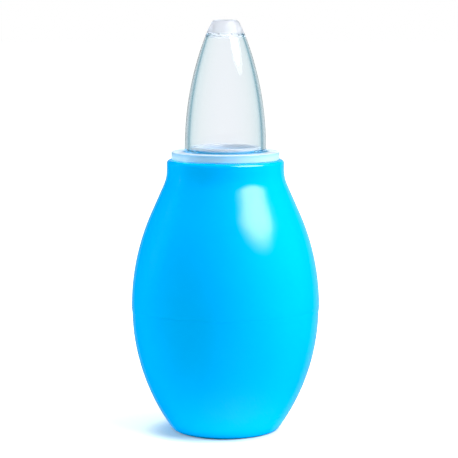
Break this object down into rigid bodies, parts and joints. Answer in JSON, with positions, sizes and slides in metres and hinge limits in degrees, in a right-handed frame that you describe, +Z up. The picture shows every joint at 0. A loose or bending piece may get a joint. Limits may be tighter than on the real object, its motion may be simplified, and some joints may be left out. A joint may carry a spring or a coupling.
{
  "type": "nasal aspirator",
  "caption": "Hand-squeezed nasal aspirator: a soft egg-shaped bulb with a flat foot, a plug-in collar, a clear pointed nozzle and a frosted soft tip.",
  "frame": {"origin": "middle of the foot, on the surface that the bulb stands on", "axes": "+Z up along the axis, from the foot to the tip; -Y faces the front pressed zone and +Y the back one; +X to the right"},
  "size_m": [0.05, 0.05, 0.1089],
  "materials": {
    "bulb_soft_blue": "smooth satin soft PVC, cyan blue, opaque",
    "collar_translucent": "polished translucent polypropylene",
    "nozzle_clear": "polished clear styrene",
    "tip_frosted": "frosted translucent soft elastomer"
  },
  "bodies": {
    "bulb": {"squeeze_bulb": "bulb_soft_blue"},
    "front_wall": {"squeeze_wall_front": "bulb_soft_blue"},
    "back_wall": {"squeeze_wall_back": "bulb_soft_blue"},
    "collar": {"nozzle_collar": "collar_translucent"},
    "nozzle": {"nozzle_cone": "nozzle_clear", "soft_tip": "tip_frosted"}
  },
  "joints": [
    {"name": "squeeze_front", "type": "slide", "parent": "bulb", "child": "front_wall", "axis": [0, 1, 0], "range_m": [0, 0.006], "stiffness_N_per_m": 1000},
    {"name": "squeeze_back", "type": "slide", "parent": "bulb", "child": "back_wall", "axis": [0, -1, 0], "range_m": [0, 0.006], "stiffness_N_per_m": 1000},
    {"name": "collar_pull", "type": "slide", "parent": "bulb", "child": "collar", "axis": [0, 0, 1], "range_m": [0, 0.03]},
    {"name": "nozzle_pull", "type": "slide", "parent": "collar", "child": "nozzle", "axis": [0, 0, 1], "range_m": [0, 0.016]}
  ],
  "couplings": [
    {"joint": "squeeze_back", "follows": "squeeze_front", "ratio": 1}
  ]
}
